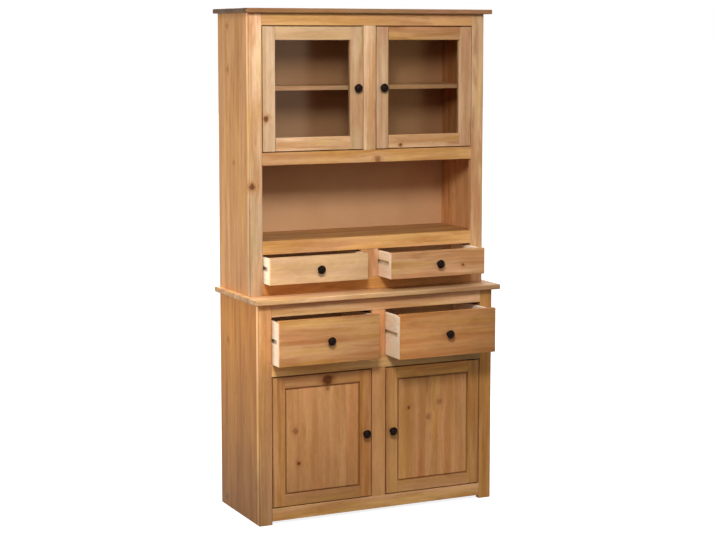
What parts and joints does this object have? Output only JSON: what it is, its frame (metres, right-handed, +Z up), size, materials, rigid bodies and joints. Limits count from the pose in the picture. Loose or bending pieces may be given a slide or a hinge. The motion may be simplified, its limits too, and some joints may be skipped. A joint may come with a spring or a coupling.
{
  "type": "highboard",
  "caption": "Pine highboard: a hutch with glazed doors, open niche and small drawers on a deeper base cabinet with larger drawers and panelled doors; drawers stand part open",
  "frame": {"origin": "on the floor, under the middle of the box around the piece with its drawers as they stand", "axes": "+X to the right seen from the front, +Y to the back, +Z up; the front faces -Y"},
  "size_m": [0.94, 0.495, 1.749],
  "materials": {
    "waxed_pine": "honey wax, satin",
    "raw_pine": "bare planed pine",
    "back_board": "thin board, matt",
    "clear_glass": "clear, polished",
    "dark_knob": "dark, half matt",
    "pivot_steel": "plain turned"
  },
  "bodies": {
    "cabinet": {"hutch_top_board": "waxed_pine", "hutch_side_left": "waxed_pine", "hutch_side_right": "waxed_pine", "hutch_stiles": "waxed_pine", "hutch_rails": "waxed_pine", "hutch_mullions": "waxed_pine", "hutch_partition": "waxed_pine", "hutch_cabinet_floor": "waxed_pine", "hutch_niche_shelf": "waxed_pine", "hutch_shelf": "waxed_pine", "hutch_back_panel": "back_board", "hutch_drawer_runners": "raw_pine", "base_top_board": "waxed_pine", "base_side_left": "waxed_pine", "base_side_right": "waxed_pine", "base_stiles": "waxed_pine", "base_rails": "waxed_pine", "base_mullions": "waxed_pine", "base_partition": "waxed_pine", "base_bottom_board": "waxed_pine", "base_shelves": "waxed_pine", "base_back_panel": "back_board", "base_drawer_runners": "raw_pine", "pivot_bushes": "pivot_steel"},
    "glass_door_left": {"glass_door_left_frame": "waxed_pine", "glass_door_left_pane": "clear_glass", "glass_door_left_knob": "dark_knob", "glass_door_left_pins": "pivot_steel"},
    "panel_door_left": {"panel_door_left_frame": "waxed_pine", "panel_door_left_panel": "waxed_pine", "panel_door_left_knob": "dark_knob", "panel_door_left_pins": "pivot_steel"},
    "upper_drawer_left": {"upper_drawer_left_front": "waxed_pine", "upper_drawer_left_sides": "raw_pine", "upper_drawer_left_back": "raw_pine", "upper_drawer_left_bottom": "back_board", "upper_drawer_left_knob": "dark_knob"},
    "lower_drawer_left": {"lower_drawer_left_front": "waxed_pine", "lower_drawer_left_sides": "raw_pine", "lower_drawer_left_back": "raw_pine", "lower_drawer_left_bottom": "back_board", "lower_drawer_left_knob": "dark_knob"},
    "glass_door_right": {"glass_door_right_frame": "waxed_pine", "glass_door_right_pane": "clear_glass", "glass_door_right_knob": "dark_knob", "glass_door_right_pins": "pivot_steel"},
    "panel_door_right": {"panel_door_right_frame": "waxed_pine", "panel_door_right_panel": "waxed_pine", "panel_door_right_knob": "dark_knob", "panel_door_right_pins": "pivot_steel"},
    "upper_drawer_right": {"upper_drawer_right_front": "waxed_pine", "upper_drawer_right_sides": "raw_pine", "upper_drawer_right_back": "raw_pine", "upper_drawer_right_bottom": "back_board", "upper_drawer_right_knob": "dark_knob"},
    "lower_drawer_right": {"lower_drawer_right_front": "waxed_pine", "lower_drawer_right_sides": "raw_pine", "lower_drawer_right_back": "raw_pine", "lower_drawer_right_bottom": "back_board", "lower_drawer_right_knob": "dark_knob"}
  },
  "joints": [
    {"name": "glass_door_left_hinge", "type": "hinge", "parent": "cabinet", "child": "glass_door_left", "pos_m": [-0.3885, -0.0285, 1.4785], "axis": [0, 0, -1], "range_deg": [0, 110]},
    {"name": "panel_door_left_hinge", "type": "hinge", "parent": "cabinet", "child": "panel_door_left", "pos_m": [-0.3885, -0.1015, 0.284], "axis": [0, 0, -1], "range_deg": [0, 110]},
    {"name": "upper_drawer_left_slide", "type": "slide", "parent": "cabinet", "child": "upper_drawer_left", "axis": [0, -1, 0], "range_m": [-0.062, 0.098]},
    {"name": "lower_drawer_left_slide", "type": "slide", "parent": "cabinet", "child": "lower_drawer_left", "axis": [0, -1, 0], "range_m": [-0.065, 0.135]},
    {"name": "glass_door_right_hinge", "type": "hinge", "parent": "cabinet", "child": "glass_door_right", "pos_m": [0.3885, -0.0285, 1.4785], "axis": [0, 0, 1], "range_deg": [0, 110]},
    {"name": "panel_door_right_hinge", "type": "hinge", "parent": "cabinet", "child": "panel_door_right", "pos_m": [0.3885, -0.1015, 0.284], "axis": [0, 0, 1], "range_deg": [0, 110]},
    {"name": "upper_drawer_right_slide", "type": "slide", "parent": "cabinet", "child": "upper_drawer_right", "axis": [0, -1, 0], "range_m": [-0.106, 0.054]},
    {"name": "lower_drawer_right_slide", "type": "slide", "parent": "cabinet", "child": "lower_drawer_right", "axis": [0, -1, 0], "range_m": [-0.114, 0.086]}
  ]
}
